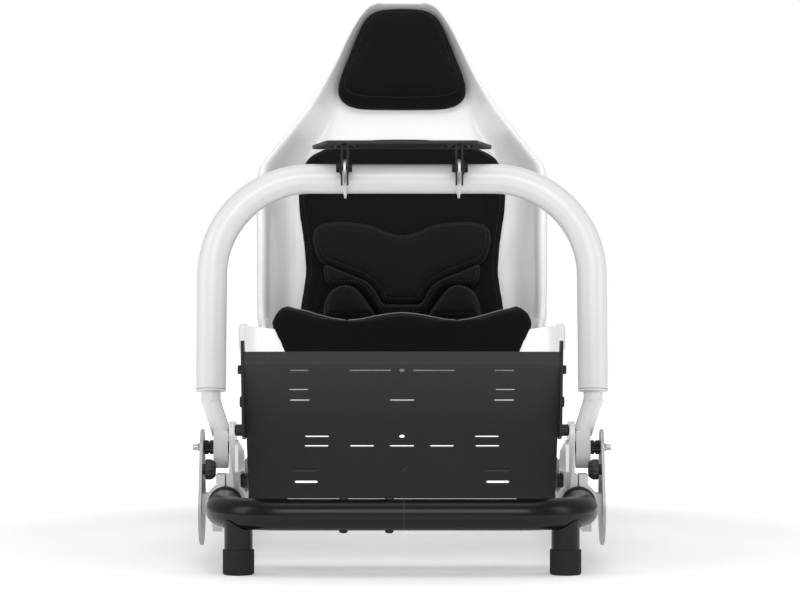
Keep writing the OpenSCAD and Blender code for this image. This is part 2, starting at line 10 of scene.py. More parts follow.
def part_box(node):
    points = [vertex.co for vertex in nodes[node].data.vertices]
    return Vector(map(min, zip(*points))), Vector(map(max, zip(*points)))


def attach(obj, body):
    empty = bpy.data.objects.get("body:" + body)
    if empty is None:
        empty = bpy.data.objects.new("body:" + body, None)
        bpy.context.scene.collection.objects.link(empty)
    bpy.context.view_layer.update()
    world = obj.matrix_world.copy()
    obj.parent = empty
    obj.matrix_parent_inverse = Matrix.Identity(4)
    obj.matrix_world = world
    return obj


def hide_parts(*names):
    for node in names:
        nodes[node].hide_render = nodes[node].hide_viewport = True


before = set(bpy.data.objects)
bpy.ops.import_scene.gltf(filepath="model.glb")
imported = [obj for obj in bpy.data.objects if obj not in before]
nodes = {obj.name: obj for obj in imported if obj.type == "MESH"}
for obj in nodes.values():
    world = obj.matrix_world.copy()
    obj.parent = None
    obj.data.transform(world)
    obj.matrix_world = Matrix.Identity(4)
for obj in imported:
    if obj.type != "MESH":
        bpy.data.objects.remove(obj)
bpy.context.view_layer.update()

# Looks of the sim racing cockpit: a reclined bucket seat on a black tube base, with a sliding
# carriage that carries the pedal plate and the white wheel hoop. Lengths are in metres.

MM = 0.001

# Sizes shared with the solids

BASE_HALF = 0.720
RAIL_X = 0.291
RAIL_Z = 0.097
TUBE_R = 0.025
BASE_BEND_R = 0.110
PIVOT = (0.312, 0.187)
HOOP_X = 0.320
HOOP_R = 0.025
HOOP_LEAN = math.radians(8)
HOOP_LEG_BOTTOM = 0.097
WHEEL_PIVOT = (0.32732, 0.65457)
PEDAL_PIVOT = (0.104, 0.226)
RECLINE = math.radians(64.3)
BACK_FOOT = (1.030, 0.365)
SEAT_HALF = 0.288
SHELL_T = 0.034
X_OUT = Vector((1, 0, 0))
Z_UP = Vector((0, 0, 1))
DOWN = Vector((0, 0, -1))

# One seat section: depth, height, slope, half width, half width of the flat, wing height
SEAT_SECTIONS = [
    [562, 350, -12, 0.985, 0.79, 38], [580, 347, -12, 1.000, 0.79, 44],
    [640, 333, -16, 1.000, 0.79, 48], [730, 302, -20, 0.986, 0.77, 55],
    [810, 273, -14, 0.958, 0.74, 80], [880, 262, 6, 0.931, 0.72, 105],
    [940, 278, 28, 0.927, 0.71, 118], [990, 315, 48, 0.931, 0.71, 118],
    [1030, 365, 64.3, 0.951, 0.715, 115], [1095, 500, 64.3, 0.964, 0.72, 112],
    [1155.8, 626.3, 64.3, 0.976, 0.73, 107], [1175.7, 667.8, 64.3, 0.908, 0.70, 98],
    [1205.2, 729, 64.3, 0.774, 0.575, 79], [1230.4, 781.3, 64.3, 0.663, 0.465, 63],
    [1270.3, 864.2, 64.3, 0.495, 0.405, 51], [1311, 948.9, 64.3, 0.358, 0.305, 46],
    [1333.6, 995.8, 64.3, 0.262, 0.205, 40], [1341.0, 1011.2, 64.3, 0.190, 0.140, 34]]


# Placing points

def at(x, depth, height):
    """Row-frame point from a depth behind the front of the base."""
    return Vector((x, depth - BASE_HALF, height))


def on_back(x, v, n):
    """Point on the backrest: v up along it, n out from the shell."""
    c, s = math.cos(RECLINE), math.sin(RECLINE)
    return at(x, BACK_FOOT[0] + v * c - n * s, BACK_FOOT[1] + v * s + n * c)


def on_hoop(x, y, h):
    """Point in the leaning plane of the hoop, h above its pivot."""
    c, s = math.cos(HOOP_LEAN), math.sin(HOOP_LEAN)
    return at(x, PIVOT[0] + y * c + h * s, PIVOT[1] - y * s + h * c)


def curve_row(a, b, c, d, t):
    """Row at share t of the way from b to c on a smooth curve through four rows of numbers."""
    return [0.5 * (2 * q + (r - p) * t + (2 * p - 5 * q + 4 * r - s) * t * t
                   + (3 * q - p - 3 * r + s) * t ** 3)
            for p, q, r, s in zip(a, b, c, d)]


def smooth_values(rows, parts):
    """Rows of numbers run through by a smooth curve, with so many steps between two rows."""
    out = []
    for i in range(len(rows) - 1):
        before, after = rows[max(i - 1, 0)], rows[min(i + 2, len(rows) - 1)]
        out += [curve_row(before, rows[i], rows[i + 1], after, k / parts) for k in range(parts)]
    out.append(list(rows[-1]))
    return out


# Making meshes

def add_piece(name, points, faces, body, material, smooth=True):
    """A piece with its mesh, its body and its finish."""
    mesh = bpy.data.meshes.new(name)
    mesh.from_pydata([tuple(p) for p in points], [], faces)
    work = bmesh.new()
    work.from_mesh(mesh)
    bmesh.ops.recalc_face_normals(work, faces=work.faces[:])
    work.to_mesh(mesh)
    work.free()
    for face in mesh.polygons:
        face.use_smooth = smooth
    piece = bpy.data.objects.new(name, mesh)
    bpy.context.scene.collection.objects.link(piece)
    mesh.materials.append(material)
    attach(piece, body)
    return piece


def lofted(rings, closed_ends=True, looped=False):
    """Points and faces of a skin through rings of as many points each."""
    n = len(rings[0])
    points = [p for ring in rings for p in ring]
    faces = []
    count = len(rings) if looped else len(rings) - 1
    for i in range(count):
        a, b = i * n, ((i + 1) % len(rings)) * n
        for k in range(n):
            faces.append((a + k, a + (k + 1) % n, b + (k + 1) % n, b + k))
    if closed_ends and not looped:
        faces.append(tuple(range(n - 1, -1, -1)))
        faces.append(tuple((len(rings) - 1) * n + k for k in range(n)))
    return points, faces


def circle_frame(axis):
    """The axis and two directions square to it."""
    axis = Vector(axis).normalized()
    side = axis.cross(Vector((0, 0, 1)))
    if side.length < 1e-3:
        side = axis.cross(Vector((0, 1, 0)))
    side.normalize()
    return axis, side, axis.cross(side)


def turned(centre, axis, profile, count=32, lobes=0, depth=0.0):
    """A turned form: profile is (radius, distance along the axis), with optional hand lobes."""
    axis, u, v = circle_frame(axis)
    rings = []
    for radius, along in profile:
        ring = []
        for k in range(count):
            a = 2 * math.pi * k / count
            r = radius + (depth * math.cos(lobes * a) if lobes and radius > 2 * depth else 0.0)
            ring.append(Vector(centre) + along * axis + r * (math.cos(a) * u + math.sin(a) * v))
        rings.append(ring)
    return lofted(rings)


def hexagonal(centre, axis, across, height, start=0.0):
    """A hexagon head with chamfered corners."""
    r = across / math.sqrt(3)
    chamfer = 0.08 * across
    profile = [(r, start), (r, start + height - chamfer), (0.86 * r, start + height),
               (0.5 * r, start + height), (0.45 * r, start + height - chamfer)]
    return turned(centre, axis, profile, 6)


def washer(centre, axis, radius, height, start=0.0):
    """A flat washer with broken edges."""
    lip = 0.3 * height
    return turned(centre, axis, [
        (radius - lip, start), (radius, start + lip), (radius, start + height - lip),
        (radius - lip, start + height)], 32)


def ring_bead(centre, axis, radius, bead, count=40):
    """A round bead laid as a ring about an axis."""
    axis, u, v = circle_frame(axis)
    path = [Vector(centre) + radius * (math.cos(a) * u + math.sin(a) * v)
            for a in (math.tau * k / count for k in range(count))]
    return tube_along(path, bead, 6, True)


def tube_along(path, radius, sides=8, looped=False):
    """A round cord through the points of a path."""
    rings = []
    last = len(path) - 1
    up = None
    for i, p in enumerate(path):
        a = path[i - 1] if i or looped else path[0]
        b = path[(i + 1) % len(path)] if i < last or looped else path[last]
        along = (Vector(b) - Vector(a)).normalized()
        if up is None:
            up = circle_frame(along)[1]
        up = (up - up.dot(along) * along).normalized()
        side = along.cross(up)
        rings.append([Vector(p) + radius * (math.cos(t) * up + math.sin(t) * side)
                      for t in (2 * math.pi * k / sides for k in range(sides))])
    return lofted(rings, looped=looped)


def gathered(forms):
    """Several forms as one list of points and one of faces."""
    points, faces = [], []
    for some, own in forms:
        base = len(points)
        points += list(some)
        faces += [tuple(base + i for i in face) for face in own]
    return points, faces


def both_sides(form):
    """A form drawn on the right, and the same mirrored to the left."""
    points, faces = form
    mirrored = [Vector((-p[0], p[1], p[2])) for p in points]
    return gathered([(points, faces), (mirrored, [tuple(reversed(f)) for f in faces])])


# Surface effects, as shader groups

def new_group(name, inputs, outputs):
    group = bpy.data.node_groups.new(name, "ShaderNodeTree")
    for label, kind, value in inputs:
        socket = group.interface.new_socket(name=label, in_out="INPUT", socket_type=kind)
        socket.default_value = value
    for label, kind in outputs:
        group.interface.new_socket(name=label, in_out="OUTPUT", socket_type=kind)
    return group, group.nodes.new("NodeGroupInput"), group.nodes.new("NodeGroupOutput")


def noise_node(group, coords, scale, detail=3.0, rough=0.55):
    noise = group.nodes.new("ShaderNodeTexNoise")
    noise.inputs["Detail"].default_value = detail
    noise.inputs["Roughness"].default_value = rough
    group.links.new(coords, noise.inputs["Vector"])
    if isinstance(scale, (int, float)):
        noise.inputs["Scale"].default_value = scale
    else:
        group.links.new(scale, noise.inputs["Scale"])
    return noise.outputs["Fac"]


def math_node(group, operation, *values):
    node = group.nodes.new("ShaderNodeMath")
    node.operation = operation
    for socket, value in zip(node.inputs, values):
        if isinstance(value, (int, float)):
            socket.default_value = value
        else:
            group.links.new(value, socket)
    return node.outputs[0]


def mix_colours(group, factor, first, second):
    node = group.nodes.new("ShaderNodeMix")
    node.data_type = "RGBA"
    group.links.new(factor, node.inputs["Factor"])
    for socket, value in ((node.inputs[6], first), (node.inputs[7], second)):
        if isinstance(value, (list, tuple)):
            socket.default_value = value
        else:
            group.links.new(value, socket)
    return node.outputs[2]


def object_coords(group):
    return group.nodes.new("ShaderNodeTexCoord").outputs["Object"]


def make_coat_group():
    """Sprayed or powdered coat: a fine pebble, slow changes of tone and faint handling marks."""
    group, given, out = new_group("sprayed_coat", [
        ("Color", "NodeSocketColor", (0.8, 0.8, 0.8, 1)),
        ("Mark Color", "NodeSocketColor", (0.7, 0.7, 0.7, 1)),
        ("Pebble Scale", "NodeSocketFloat", 900.0),
        ("Marks", "NodeSocketFloat", 0.2),
        ("Roughness", "NodeSocketFloat", 0.4),
    ], [("Color", "NodeSocketColor"), ("Roughness", "NodeSocketFloat"),
        ("Height", "NodeSocketFloat")])
    coords = object_coords(group)
    pebble = noise_node(group, coords, given.outputs["Pebble Scale"], 2.0)
    cloud = noise_node(group, coords, 7.0, 4.0)
    marks = noise_node(group, coords, 55.0, 6.0, 0.7)
    spots = math_node(group, "GREATER_THAN", marks, 0.66)
    amount = math_node(group, "MULTIPLY", spots, given.outputs["Marks"])
    tone = math_node(group, "MULTIPLY", math_node(group, "SUBTRACT", cloud, 0.5),
                     given.outputs["Marks"])
    factor = math_node(group, "ADD", amount, tone)
    clamped = math_node(group, "MAXIMUM", factor, 0.0)
    group.links.new(mix_colours(group, clamped, given.outputs["Color"],
                                given.outputs["Mark Color"]), out.inputs["Color"])
    dull = math_node(group, "MULTIPLY", cloud, 0.16)
    rough = math_node(group, "ADD", given.outputs["Roughness"], dull)
    group.links.new(math_node(group, "SUBTRACT", rough, 0.08), out.inputs["Roughness"])
    group.links.new(pebble, out.inputs["Height"])
    return group


def make_knit_group():
    """Knitted cover cloth: crossing ribs of yarn with a soft mottle."""
    group, given, out = new_group("knitted_cloth", [
        ("Color", "NodeSocketColor", (0.02, 0.02, 0.02, 1)),
        ("Yarn Color", "NodeSocketColor", (0.05, 0.05, 0.05, 1)),
        ("Rib Scale", "NodeSocketFloat", 420.0),
        ("Mottle", "NodeSocketFloat", 0.5),
    ], [("Color", "NodeSocketColor"), ("Roughness", "NodeSocketFloat"),
        ("Height", "NodeSocketFloat")])
    coords = object_coords(group)
    split = group.nodes.new("ShaderNodeSeparateXYZ")
    group.links.new(coords, split.inputs[0])
    across = math_node(group, "MULTIPLY", split.outputs[0], given.outputs["Rib Scale"])
    climb = math_node(group, "ADD", split.outputs[2],
                      math_node(group, "MULTIPLY", split.outputs[1], 0.6))
    along = math_node(group, "MULTIPLY", climb, given.outputs["Rib Scale"])
    turn = math.tau
    warp = math_node(group, "SINE", math_node(group, "MULTIPLY", across, turn))
    lean = math_node(group, "ADD", math_node(group, "MULTIPLY", along, turn),
                     math_node(group, "MULTIPLY", warp, 0.9))
    weft = math_node(group, "SINE", lean)
    rib = math_node(group, "MULTIPLY", math_node(group, "ABSOLUTE", warp),
                    math_node(group, "ABSOLUTE", weft))
    fuzz = noise_node(group, coords, 1400.0, 2.0)
    patch = noise_node(group, coords, 22.0, 5.0, 0.6)
    height = math_node(group, "ADD", rib, math_node(group, "MULTIPLY", fuzz, 0.5))
    mottle = math_node(group, "MULTIPLY", patch, given.outputs["Mottle"])
    factor = math_node(group, "MULTIPLY", math_node(group, "ADD", rib, mottle), 0.6)
    group.links.new(mix_colours(group, factor, given.outputs["Color"],
                                given.outputs["Yarn Color"]), out.inputs["Color"])
    group.links.new(math_node(group, "ADD", 0.82, math_node(group, "MULTIPLY", fuzz, 0.12)),
                    out.inputs["Roughness"])
    group.links.new(height, out.inputs["Height"])
    return group


def make_moulding_group():
    """Moulded plastic or rubber: fine spark grain, scuffs and a little dust."""
    group, given, out = new_group("moulded_grain", [
        ("Color", "NodeSocketColor", (0.02, 0.02, 0.02, 1)),
        ("Dust Color", "NodeSocketColor", (0.2, 0.2, 0.2, 1)),
        ("Grain Scale", "NodeSocketFloat", 1600.0),
        ("Dust", "NodeSocketFloat", 0.1),
        ("Roughness", "NodeSocketFloat", 0.6),
    ], [("Color", "NodeSocketColor"), ("Roughness", "NodeSocketFloat"),
        ("Height", "NodeSocketFloat")])
    coords = object_coords(group)
    grain = noise_node(group, coords, given.outputs["Grain Scale"], 2.0)
    scuff = noise_node(group, coords, 90.0, 6.0, 0.7)
    dusty = math_node(group, "MULTIPLY", scuff, given.outputs["Dust"])
    group.links.new(mix_colours(group, dusty, given.outputs["Color"],
                                given.outputs["Dust Color"]), out.inputs["Color"])
    rough = math_node(group, "ADD", given.outputs["Roughness"],
                      math_node(group, "MULTIPLY", scuff, 0.12))
    group.links.new(rough, out.inputs["Roughness"])
    group.links.new(grain, out.inputs["Height"])
    return group


def make_floor_group():
    """The painted glow of a studio floor: light that the floor gives off itself, weaker near the
    object, which darkens the floor around it, and stronger away from it so that it has no
    horizon.
    """
    group, given, out = new_group("floor_glow", [
        ("Near", "NodeSocketFloat", 0.6), ("Far", "NodeSocketFloat", 1.5),
        ("Near Color", "NodeSocketColor", (0.22, 0.22, 0.22, 1)),
        ("Far Color", "NodeSocketColor", (0.8, 0.8, 0.8, 1)),
    ], [("Glow", "NodeSocketColor"), ("Height", "NodeSocketFloat")])
    coords = object_coords(group)
    length = group.nodes.new("ShaderNodeVectorMath")
    length.operation = "LENGTH"
    group.links.new(coords, length.inputs[0])
    share = group.nodes.new("ShaderNodeMapRange")
    share.interpolation_type = "SMOOTHSTEP"
    group.links.new(length.outputs["Value"], share.inputs["Value"])
    group.links.new(given.outputs["Near"], share.inputs["From Min"])
    group.links.new(given.outputs["Far"], share.inputs["From Max"])
    group.links.new(mix_colours(group, share.outputs[0], given.outputs["Near Color"],
                                given.outputs["Far Color"]), out.inputs["Glow"])
    group.links.new(noise_node(group, coords, 60.0), out.inputs["Height"])
    return group


COAT = make_coat_group()
KNIT = make_knit_group()
MOULDING = make_moulding_group()


def rgb(value, tint=(1.0, 1.0, 1.0)):
    return tuple(value * t for t in tint) + (1.0,)


def finish_material(name, group, settings, bump, bump_distance, shader):
    """A material whose colour, roughness and relief come from one of the groups."""
    material = bpy.data.materials.new(name)
    material.use_nodes = True
    tree = material.node_tree
    bsdf = tree.nodes["Principled BSDF"]
    effect = tree.nodes.new("ShaderNodeGroup")
    effect.node_tree = group
    for label, value in settings.items():
        effect.inputs[label].default_value = value
    relief = tree.nodes.new("ShaderNodeBump")
    relief.inputs["Strength"].default_value = bump
    relief.inputs["Distance"].default_value = bump_distance
    tree.links.new(effect.outputs["Color"], bsdf.inputs["Base Color"])
    tree.links.new(effect.outputs["Roughness"], bsdf.inputs["Roughness"])
    tree.links.new(effect.outputs["Height"], relief.inputs["Height"])
    tree.links.new(relief.outputs["Normal"], bsdf.inputs["Normal"])
    for label, value in shader.items():
        bsdf.inputs[label].default_value = value
    return material


def coat(name, color, mark, roughness, marks=0.2, scale=900.0, bump=0.12, **shader):
    return finish_material(name, COAT, {
        "Color": color, "Mark Color": mark, "Roughness": roughness, "Marks": marks,
        "Pebble Scale": scale}, bump, 0.00015, shader)


def moulding(name, color, dust, roughness, scale=1600.0, amount=0.1, **shader):
    return finish_material(name, MOULDING, {
        "Color": color, "Dust Color": dust, "Roughness": roughness, "Dust": amount,
        "Grain Scale": scale}, 0.25, 0.00015, shader)


def cloth(name, color, yarn, scale=420.0, mottle=0.5, bump=0.5, **shader):
    return finish_material(name, KNIT, {
        "Color": color, "Yarn Color": yarn, "Rib Scale": scale, "Mottle": mottle},
        bump, 0.0004, shader)


black_powder = coat("black_powder_coat", rgb(0.0035), rgb(0.010), 0.27, 0.5,
                    **{"Specular IOR Level": 0.27})
bracket_gloss = coat("gloss_black_coat", rgb(0.006), rgb(0.014), 0.22, 0.4, 700.0, 0.05,
                     **{"Coat Weight": 0.5, "Coat Roughness": 0.08})
white_powder = coat("white_powder_coat", rgb(0.70), rgb(0.62), 0.34, 0.15, bump=0.06,
                    **{"Specular IOR Level": 0.5, "Coat Weight": 0.25, "Coat Roughness": 0.2})
# Side plates: white powder coat darkened to grey, painted shade for their inward faces.
painted_shade_powder = coat("painted_shade_powder_coat", rgb(0.40), rgb(0.3), 0.38, 0.4,
                   **{"Metallic": 0.35})
plate_powder = coat("plate_powder_coat", rgb(0.013), rgb(0.024), 0.5, 0.4, 1200.0, 0.3,
                    **{"Specular IOR Level": 0.4})
gel_coat = coat("white_gel_coat", rgb(0.88), rgb(0.82), 0.2, 0.12, 300.0, 0.03,
                **{"Coat Weight": 0.6, "Coat Roughness": 0.12})
black_steel = coat("blackened_steel", rgb(0.02), rgb(0.06), 0.36, 0.6, 1500.0, 0.2,
                   **{"Metallic": 0.6})
bright_steel = coat("zinc_steel", rgb(0.45), rgb(0.3), 0.3, 0.4, 1500.0, 0.15,
                    **{"Metallic": 1.0})
foot_rubber = moulding("foot_rubber", rgb(0.010), rgb(0.07), 0.72,
                       **{"Specular IOR Level": 0.3})
black_plastic = moulding("black_moulding", rgb(0.018), rgb(0.08), 0.5)
white_plastic = moulding("white_moulding", rgb(0.74), rgb(0.6), 0.4, 1200.0, 0.1)
cover_cloth = cloth("cover_cloth", rgb(0.0035), rgb(0.0085),
                    **{"Sheen Weight": 0.04, "Sheen Roughness": 0.4,
                       "Specular IOR Level": 0.1})
pad_cloth = cloth("pad_cloth", rgb(0.006), rgb(0.013), 360.0, 0.6,
                  **{"Sheen Weight": 0.07, "Sheen Roughness": 0.4,
                     "Specular IOR Level": 0.1})
# The piping's light grey is a painted highlight: the rim light along the cushion's crest.
piping_highlight_cloth = cloth("piping_highlight_cloth", rgb(0.20), rgb(0.36), 700.0)
thread = cloth("sewing_thread", rgb(0.03), rgb(0.07), 900.0)
gap_shade = moulding("gap_shade", rgb(0.05), rgb(0.1), 0.8)

# Finishes of the frame's own solids
SOLID_FINISHES = {
    black_powder: ["base_left", "base_right", "front_legs", "rear_legs", "seat_brackets",
                   "seat_crossbars", "pedal_cheek_left", "pedal_cheek_right"],
    bracket_gloss: ["wheel_bracket_left", "wheel_bracket_right"],
    foot_rubber: ["front_feet", "rear_feet"],
    black_steel: ["joiner_bolts", "pivot_bolts", "wheel_bolts", "pedal_bolts"],
    white_powder: ["collar_left", "collar_right", "upright_left", "upright_right",
                   "pedal_bracket_left", "pedal_bracket_right", "hoop_arm_left",
                   "hoop_arm_right", "hoop", "wheel_tabs"],
    black_plastic: ["bushings", "collar_knobs", "tilt_knobs"],
    painted_shade_powder: ["side_plate_left", "side_plate_right"],
    white_plastic: ["sleeve_caps"],
    plate_powder: ["wheel_plate", "pedal_plate"],
}
for material, names in SOLID_FINISHES.items():
    for name in names:
        nodes[name].data.materials.clear()
        nodes[name].data.materials.append(material)


# Seat shell

def shell_ring(section, lift=0.0):
    """Closed outline of the shell at one section, from the middle of the pan outwards.

    The pan itself rises to the share lift of the wing's height.
    """
    depth, height, slope, half, flat, wing = section
    w, f, h, t = half * SEAT_HALF * 1000, flat * SEAT_HALF * 1000, wing, SHELL_T * 1000
    side = w - f
    profile = [
        (0.0, 2.0), (0.35 * f, 1.5), (0.70 * f, 0.5), (0.93 * f, 0.0),
        (f + 0.10 * side, 0.04 * h), (f + 0.25 * side, 0.14 * h), (f + 0.40 * side, 0.31 * h),
        (f + 0.52 * side, 0.48 * h), (f + 0.62 * side, 0.68 * h), (f + 0.70 * side, 0.85 * h),
        (f + 0.77 * side, 0.96 * h), (f + 0.86 * side, 1.0 * h), (f + 0.94 * side, 0.985 * h),
        (w - 1.0, 0.92 * h), (w, 0.80 * h), (w, 0.45 * h), (w, 0.10 * h), (w, -0.25 * t),
        (w - 0.12 * t, -0.52 * t), (w - 0.45 * t, -0.82 * t), (w - 1.0 * t, -1.0 * t),
        (0.62 * (w - t), -1.0 * t), (0.30 * (w - t), -1.0 * t), (0.0, -1.0 * t)]
    c, s = math.cos(math.radians(slope)), math.sin(math.radians(slope))

    def place(x, n):
        if n >= 0.0:
            n += lift * (h - n)
        return at(x * MM, (depth - n * s) * MM, (height + n * c) * MM)

    right = [place(x, n) for x, n in profile]
    left = [place(-x, n) for x, n in reversed(profile[1:-1])]
    return right + left


def rounded_end(ring, follow):
    """Two smaller rings past the end of the shell, the outer one first."""
    middle = sum(ring, Vector()) / len(ring)
    out = (middle - sum(follow, Vector()) / len(follow)).normalized()
    return [[middle + (p - middle) * size + out * step for p in ring]
            for size, step in ((0.86, 0.004), (0.965, 0.002))]


def make_seat_shell():
    """The one-piece shell, whose pan rises into a lip over its last rings at the top."""
    lip_rings, lip_rise = 4, 0.92
    sections = smooth_values(SEAT_SECTIONS, 4)
    lip_start = len(sections) - 1 - lip_rings
    rings = [shell_ring(s, lip_rise * max(0.0, (i - lip_start) / lip_rings) ** 2)
             for i, s in enumerate(sections)]
    front = rounded_end(rings[0], rings[1])
    top = rounded_end(rings[-1], rings[-2])
    points, faces = lofted(front + rings + top[::-1])
    shell = add_piece("seat_tub", points, faces, "base", gel_coat)
    rounding = shell.modifiers.new("rounding", "SUBSURF")
    rounding.levels = rounding.render_levels = 1
    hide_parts("seat_shell")


make_seat_shell()


# Upholstery

BACK_OUT = (on_back(0, 0, 1) - on_back(0, 0, 0)).normalized()
BACK_UP = (on_back(0, 1, 0) - on_back(0, 0, 0)).normalized()
BACK_ORIGIN = on_back(0, 0, 0)
PUFF_PRESSURE = 4.0
PUFF_FRAMES = 20
PUFF_CAP = 0.004
HELD_BELOW = -0.3
CAST_STEP = 0.0015
STITCH_PITCH = 0.006
STITCH_LENGTH = 0.0042
THREAD_R = 0.00045
SMALL = 1e-9


def to_back(points):
    """World points as rows of x, distance up the backrest and height over the shell."""
    offset = points - np.array(BACK_ORIGIN)
    return np.stack([points[:, 0], offset @ np.array(BACK_UP), offset @ np.array(BACK_OUT)], 1)


def from_back(rows):
    """The reverse of to_back."""
    return (np.array(BACK_ORIGIN) + np.outer(rows[:, 0], (1, 0, 0))
            + np.outer(rows[:, 1], BACK_UP) + np.outer(rows[:, 2], BACK_OUT))


def smooth_loop(corners, parts=5):
    """A smooth closed line through the corners of an outline."""
    line = []
    n = len(corners)
    for i in range(n):
        around = [corners[(i + k) % n] for k in (-1, 0, 1, 2)]
        line += [tuple(curve_row(*around, k / parts)) for k in range(parts)]
    return line


def mirrored(half):
    """An outline from its right half, given in millimetres from the bottom to the top."""
    right = [(x * MM, v * MM) for x, v in half]
    return right + [(-x, v) for x, v in reversed(right)]


def distance_to_line(spots, line, closed=True):
    """How far each spot lies from a line through 2D points."""
    line = np.array(line)
    ends = np.roll(line, -1, axis=0) if closed else line[1:]
    starts = line if closed else line[:-1]
    nearest = np.full(len(spots), 1e9)
    for a, b in zip(starts, ends):
        ab = b - a
        t = np.clip(((spots - a) @ ab) / max(ab @ ab, 1e-12), 0.0, 1.0)
        gap = spots - (a + t[:, None] * ab)
        nearest = np.minimum(nearest, np.hypot(gap[:, 0], gap[:, 1]))
    return nearest


def mesh_array(mesh):
    """The points of a mesh as rows."""
    flat = np.empty(len(mesh.vertices) * 3)
    mesh.vertices.foreach_get("co", flat)
    return flat.reshape(-1, 3)


def set_mesh_array(mesh, points):
    mesh.vertices.foreach_set("co", points.ravel())
    mesh.update()


def baked(piece):
    """Replaces a piece's mesh by what its modifiers make of it."""
    graph = bpy.context.evaluated_depsgraph_get()
    mesh = bpy.data.meshes.new_from_object(piece.evaluated_get(graph))
    piece.modifiers.clear()
    piece.data = mesh


def even_grid(piece, voxel, softness):
    """Remeshes a closed form to an even grid and softens its edges."""
    grid = piece.modifiers.new("grid", "REMESH")
    grid.mode = "VOXEL"
    grid.voxel_size = voxel
    soften = piece.modifiers.new("soften", "SMOOTH")
    soften.factor = 0.5
    soften.iterations = softness
    baked(piece)


def puff(piece, out):
    """Blows the cover up a little by air pressure, with the side away from out held fast."""
    mesh = piece.data
    start = mesh_array(mesh)
    held = piece.vertex_groups.new(name="held")
    back = [i for i, v in enumerate(mesh.vertices) if v.normal.dot(out) < HELD_BELOW]
    held.add(back, 1.0, "REPLACE")
    cover = piece.modifiers.new("puff", "CLOTH")
    cover.settings.vertex_group_mass = "held"
    cover.settings.use_pressure = True
    cover.settings.uniform_pressure_force = PUFF_PRESSURE
    cover.settings.effector_weights.gravity = 0.0
    cover.settings.quality = 4
    cover.point_cache.frame_start = 1
    cover.point_cache.frame_end = PUFF_FRAMES
    for number in range(1, PUFF_FRAMES + 1):
        bpy.context.scene.frame_set(number)
    graph = bpy.context.evaluated_depsgraph_get()
    moved = mesh_array(piece.evaluated_get(graph).data)
    piece.modifiers.clear()
    piece.vertex_groups.clear()
    bpy.context.scene.frame_set(1)
    step = moved - start
    length = np.linalg.norm(step, axis=1)
    share = np.minimum(1.0, PUFF_CAP / np.maximum(length, SMALL))
    set_mesh_array(mesh, start + step * share[:, None])


def dress_pad(piece, node, material):
    """Gives a cushion its cloth and its body, in place of its solid."""
    for face in piece.data.polygons:
        face.use_smooth = True
    piece.data.materials.clear()
    piece.data.materials.append(material)
    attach(piece, "base")
    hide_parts(node)


def surface_of(piece):
    """The faces of a piece, ready for rays to be cast at them."""
    mesh = piece.data
    return BVHTree.FromPolygons([v.co for v in mesh.vertices],
                                [tuple(f.vertices) for f in mesh.polygons])


def fine_steps(line):
    """Points at small even steps along a line of 2D points, without its last one."""
    spots = []
    for (xa, ya), (xb, yb) in zip(line, line[1:]):
        steps = max(1, round(math.hypot(xb - xa, yb - ya) / CAST_STEP))
        spots += [(xa + (xb - xa) * k / steps, ya + (yb - ya) * k / steps) for k in range(steps)]
    return spots


def stitches_on(piece, spots, cast):
    """Short stitches of thread along a line of spots, laid on the piece by casting rays."""
    surface = surface_of(piece)
    longest_gap = 0.02
    path = []
    for spot in spots:
        hit = surface.ray_cast(spot, cast)[0]
        if hit is not None:
            path.append(hit - Vector(cast) * THREAD_R * 0.5)
    tip = 0.15 * THREAD_R
    half, quarter = STITCH_LENGTH / 2, STITCH_LENGTH / 4
    profile = [(tip, -half), (THREAD_R, -quarter), (THREAD_R, quarter), (tip, half)]
    forms = []
    travelled = 0.0
    for a, b in zip(path, path[1:]):
        gap = (b - a).length
        travelled += gap
        if travelled < STITCH_PITCH or gap > longest_gap:
            continue
        travelled = 0.0
        forms.append(turned(a, (b - a).normalized(), profile, 5))
    return forms


def inner_line(outline, inset):
    """The outline moved inwards by a fixed distance."""
    line = []
    n = len(outline)
    turn = sum(outline[i - 1][0] * outline[i][1] - outline[i][0] * outline[i - 1][1]
               for i in range(n))
    if turn < 0:
        inset = -inset
    for i in range(n):
        (xa, va), (xb, vb) = outline[i - 1], outline[(i + 1) % n]
        size = math.hypot(xb - xa, vb - va) or 1.0
        x, v = outline[i]
        line.append((x - inset * (vb - va) / size, v + inset * (xb - xa) / size))
    return line


